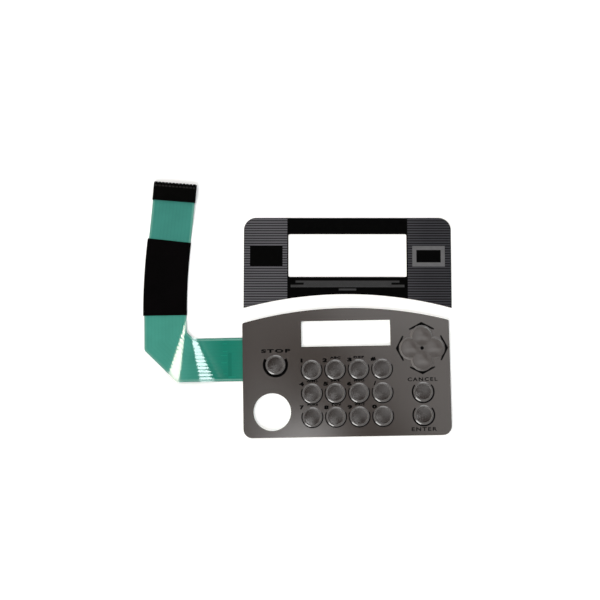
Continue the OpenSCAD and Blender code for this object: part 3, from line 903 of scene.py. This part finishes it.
def route_strip(tail, offset, width):
    """One strip from the root round the corner to the sleeve, then another from the sleeve to the connector."""
    above = Vector((0, 0, DROP_HEIGHT))
    root_x = -74.6 * MM
    bend = 2.0 * MM
    sleeve_gap = 0.1 * MM
    end_gap = 0.6 * MM
    tangent = bend * math.tan(math.pi / 8)
    chamfer = tail.chamfer_line + tail.chamfer_spread * offset
    start = drawing_point(root_x, tail.root_y + offset) + above
    corner = drawing_point(chamfer - tail.root_y - offset, tail.root_y + offset) + above
    arm = drawing_point(tail.arm_x + offset, chamfer - tail.arm_x - offset) + above
    base = drawing_point(tail.arm_x + offset, tail.arm_base_y) + above
    lower = start_strip(start, math.pi, width)
    run_straight(math.pi, start.x - corner.x - tangent, STRIP_STEP)
    run_turn(corner + Vector((tangent, bend, 0)), -math.pi / 4, 3)
    run_straight(math.radians(135), (arm - corner).length - 2 * tangent, STRIP_STEP)
    run_turn(arm + Vector((bend, tangent, 0)), -math.pi / 4, 3)
    run_straight(math.pi / 2, base.y - arm.y - tangent, STRIP_STEP)
    radius = tail.sway_length / tail.sway_turn
    centre = drawing_point(tail.arm_x + radius, tail.arm_base_y) + above
    run_turn(centre, -tail.sway_turn * (tail.sleeve_start - sleeve_gap) / tail.sway_length, 1)
    bpy.ops.object.mode_set(mode="OBJECT")

    turned = tail.sway_turn * (tail.sleeve_end + sleeve_gap) / tail.sway_length
    spot = centre + (radius - offset) * Vector((-math.cos(turned), math.sin(turned), 0))
    upper = start_strip(spot, math.pi / 2 - turned, width)
    run_turn(centre, turned - tail.sway_turn, 1)
    outward = Vector((-math.cos(tail.sway_turn), math.sin(tail.sway_turn), 0))
    back_length = tail.film_end - tail.sway_length
    back_radius = back_length / tail.back_turn
    back_turn = tail.back_turn * (back_length - end_gap) / back_length
    run_turn(centre + (radius + back_radius) * outward, back_turn, 14)
    bpy.ops.object.mode_set(mode="OBJECT")
    return [lower, upper]


class KEYPAD_OT_print_traces(bpy.types.Operator):
    """Lay the traces and the clear margins along the tail"""

    bl_idname = "keypad.print_traces"
    bl_label = "Print traces"

    def execute(self, context):
        tail = context.scene.keypad_tail
        film = bpy.data.objects["tail_film"]
        half = (tail.ways - 1) / 2
        traces = []
        for way in range(tail.ways):
            traces += route_strip(tail, (half - way) * tail.pitch, tail.trace_width)
        margins = []
        for offset in (tail.margin_offset, -tail.margin_offset):
            margins += route_strip(tail, offset, tail.margin_width)
        for name, items, material_name, lift, crown in (
            ("tail_traces", traces, "trace_film", TRACE_LIFT, tail.bead_height),
            ("tail_margins", margins, "clear_margin", MARGIN_LIFT, 0),
        ):
            item = join_all(items)
            mark_middle(item)
            lay_on_film(item, film, lift, crown)
            finish_piece(item, name, material_name)
        return {"FINISHED"}


class KEYPAD_OT_print_marks(bpy.types.Operator):
    """Lay the darker strip and the short paler strokes on the film beside the panel"""

    bl_idname = "keypad.print_marks"
    bl_label = "Print root marks"

    def execute(self, context):
        film = bpy.data.objects["tail_film"]
        for name, marks, material_name in (
            ("root_strip", ROOT_STRIPS, "shaded_print"),
            ("root_strokes", ROOT_STROKES, "pale_print"),
        ):
            items = []
            for x, y, length, width in marks:
                items.append(start_strip(Vector((x * MM, y * MM, DROP_HEIGHT)), math.pi, width * MM))
                run_straight(math.pi, length * MM, MARK_STEP)
                bpy.ops.object.mode_set(mode="OBJECT")
            item = join_all(items)
            lay_on_film(item, film, MARK_LIFT, 0)
            finish_piece(item, name, material_name)
        return {"FINISHED"}


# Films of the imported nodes


class KEYPAD_OT_finish_films(bpy.types.Operator):
    """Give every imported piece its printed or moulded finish"""

    bl_idname = "keypad.finish_films"
    bl_label = "Finish films"

    def execute(self, context):
        films = context.scene.keypad_films
        by_slot = {
            "release_paper": release_paper(),
            "adhesive": adhesive_layer(),
            "green_film": green_film(films),
            "clear_film": spacer_film(),
            "dome_steel": dome_steel(),
            "keypad_face": panel_film(films),
            "display_face": display_film(films),
            "black_ink": black_ink(films),
            "black_tape": black_tape(),
            "connector_plastic": moulded_plastic(),
            "contact_metal": tin_in_painted_shade(),
        }
        for entry in frame["record"]["subparts"]:
            dress_node(entry["node"], by_slot[entry["material_slot"]])
        trace_film(films, "trace_film", films.trace_paleness)
        trace_film(films, "pale_print", films.stroke_paleness)
        trace_film(films, "shaded_print", films.strip_shade)
        clear_margin()
        grey_ink("grey_ink", films.rule_grey)
        grey_ink("badge_ink", films.badge_grey)
        return {"FINISHED"}


# Stage


def lay_floor(stage):
    """A pale floor that keeps the part's soft shadow."""
    bpy.ops.object.select_all(action="DESELECT")
    bpy.ops.mesh.primitive_plane_add(size=12, location=(0, 0, -0.00003))
    floor = bpy.context.object
    floor.name = "floor"
    bpy.ops.object.transform_apply(location=True, rotation=True, scale=True)
    made, tree, point = begin("pale_floor")
    rays = add_node(tree, "LightPath").outputs
    seen = combine(tree, "MAXIMUM", (rays["Is Camera Ray"], rays["Is Glossy Ray"], rays["Is Transmission Ray"]))
    cloud = noise(tree, point, 3, 2)
    shade(
        made,
        Base_Color=blend_colours(tree, cloud, lighter(stage.floor_colour, 0.995), tuple(stage.floor_colour)),
        Roughness=0.9,
        Specular_IOR_Level=0.0,
        Emission_Color=(1.0, 1.0, 1.0),
        Emission_Strength=product(tree, seen, stage.floor_glow),
    )
    paint(floor, made)


def hang_lamps():
    """Soft boxes as distant lamps, each as wide as its angle."""
    for name, direction, angle, strength, colour in LAMPS:
        bpy.ops.object.light_add(type="SUN", rotation=Vector(direction).to_track_quat("Z", "Y").to_euler())
        lamp = bpy.context.object
        lamp.name = name
        lamp.data.angle = math.radians(angle)
        lamp.data.energy = strength
        lamp.data.color = colour


def ceiling_level(tree, toward, flat):
    """What the glossy film reflects from straight above: a room that is bright at both sides."""
    aslant = vector_math(tree, "DOT_PRODUCT", flat, (0.839, 0.545, 0.0), "Value")
    tall = vector_math(tree, "MULTIPLY", flat, (1.0, 1.6, 0.0))
    room = total(
        tree,
        span(tree, aslant, 0.054, 0.076, 0.0, 0.74),
        span(tree, aslant, 0.020, -0.045, 0.0, 1.15),
        span(tree, toward["Y"], 0.05, 0.08, 0.0, 0.5),
        span(tree, toward["X"], 0.09, 0.13, 0.0, 0.2),
        distance_from(tree, tall, (0.0051, -0.055, 0.0), 0.014, 0.038, 4.0, 0.0),
    )
    left_edge = span(tree, toward["X"], -0.058, -0.046)
    back_edge = span(tree, toward["Y"], 0.1, 0.13, 1.0, 0.0)
    front_edge = span(tree, toward["Y"], -0.07, -0.045)
    return product(tree, room, left_edge, back_edge, front_edge)


def front_window(tree, toward, flat):
    """A bright window in front, seen in the lower left of the nearest keys."""
    centre = (0.03, 0.006, 0.0)
    return product(
        tree,
        distance_from(tree, flat, centre, 0.146, 0.172, 0.0, 10.0),
        distance_from(tree, flat, centre, 0.20, 0.23, 1.0, 0.0),
        span(tree, toward["X"], 0.02, 0.035, 1.0, 0.0),
        span(tree, toward["Y"], -0.05, -0.07),
    )


def light_room(scene):
    """A world with pale walls low down and a patterned ceiling high up."""
    world = bpy.data.worlds.new("studio")
    scene.world = world
    world.use_nodes = True
    tree = world.node_tree
    background = tree.nodes["Background"]
    toward = split(tree, add_node(tree, "TexCoord").outputs["Generated"])
    flat = add_node(tree, "CombineXYZ", {"X": toward["X"], "Y": toward["Y"]}).outputs["Vector"]
    walls = span(tree, toward["Z"], 0.48, 0.68, 1.1, 0.0)
    high_up = span(tree, toward["Z"], 0.96, 0.985)
    above = total(tree, ceiling_level(tree, toward, flat), front_window(tree, toward, flat))
    tree.links.new(total(tree, walls, product(tree, above, high_up)), background.inputs["Strength"])
    background.inputs["Color"].default_value = (1, 1, 1, 1)


def set_camera(scene, stage):
    """The camera nearly straight above, at the photo's viewing angle."""
    turn = Matrix.Rotation(stage.roll, 4, "Z")
    away = turn @ Vector((0, -math.sin(stage.tilt), math.cos(stage.tilt))) * stage.distance
    place = Vector(LOOK_AT) + away
    bpy.ops.object.camera_add(location=place)
    camera = bpy.context.object
    camera.name = "photo_camera"
    camera.matrix_world = Matrix.Translation(place) @ turn @ Matrix.Rotation(stage.tilt, 4, "X")
    camera.data.sensor_fit = "HORIZONTAL"
    camera.data.angle = stage.field_of_view
    camera.data.clip_start = 0.01
    camera.data.clip_end = 50
    scene.camera = camera
    scene.view_settings.view_transform = "Standard"


class KEYPAD_OT_set_stage(bpy.types.Operator):
    """Set the floor, the lamps, the world and the camera"""

    bl_idname = "keypad.set_stage"
    bl_label = "Set stage"

    def execute(self, context):
        stage = context.scene.keypad_stage
        lay_floor(stage)
        hang_lamps()
        light_room(context.scene)
        set_camera(context.scene, stage)
        return {"FINISHED"}


class KEYPAD_PT_finish(bpy.types.Panel):
    """Lists the steps in order"""

    bl_idname = "KEYPAD_PT_finish"
    bl_label = "Keypad"
    bl_space_type = "VIEW_3D"
    bl_region_type = "UI"
    bl_category = "Keypad"

    def draw(self, context):
        for step in STEPS:
            self.layout.operator(step.bl_idname)


SETTINGS = (
    ("keypad_films", FilmSettings),
    ("keypad_lettering", LetteringSettings),
    ("keypad_tail", TailSettings),
    ("keypad_stage", StageSettings),
)
STEPS = (
    KEYPAD_OT_finish_films,
    KEYPAD_OT_print_numbers,
    KEYPAD_OT_print_words,
    KEYPAD_OT_print_rules,
    KEYPAD_OT_print_badge,
    KEYPAD_OT_smooth_tail,
    KEYPAD_OT_print_traces,
    KEYPAD_OT_print_marks,
    KEYPAD_OT_set_stage,
)


def register():
    for name, group in SETTINGS:
        bpy.utils.register_class(group)
        setattr(bpy.types.Scene, name, bpy.props.PointerProperty(type=group))
    for step in STEPS:
        bpy.utils.register_class(step)
    bpy.utils.register_class(KEYPAD_PT_finish)


def unregister():
    bpy.utils.unregister_class(KEYPAD_PT_finish)
    for step in reversed(STEPS):
        bpy.utils.unregister_class(step)
    for name, group in reversed(SETTINGS):
        delattr(bpy.types.Scene, name)
        bpy.utils.unregister_class(group)


def main():
    register()
    bpy.ops.keypad.finish_films()
    bpy.ops.keypad.print_numbers()
    bpy.ops.keypad.print_words()
    bpy.ops.keypad.print_rules()
    bpy.ops.keypad.print_badge()
    bpy.ops.keypad.smooth_tail()
    bpy.ops.keypad.print_traces()
    bpy.ops.keypad.print_marks()
    bpy.ops.keypad.set_stage()


if __name__ == "__main__":
    main()
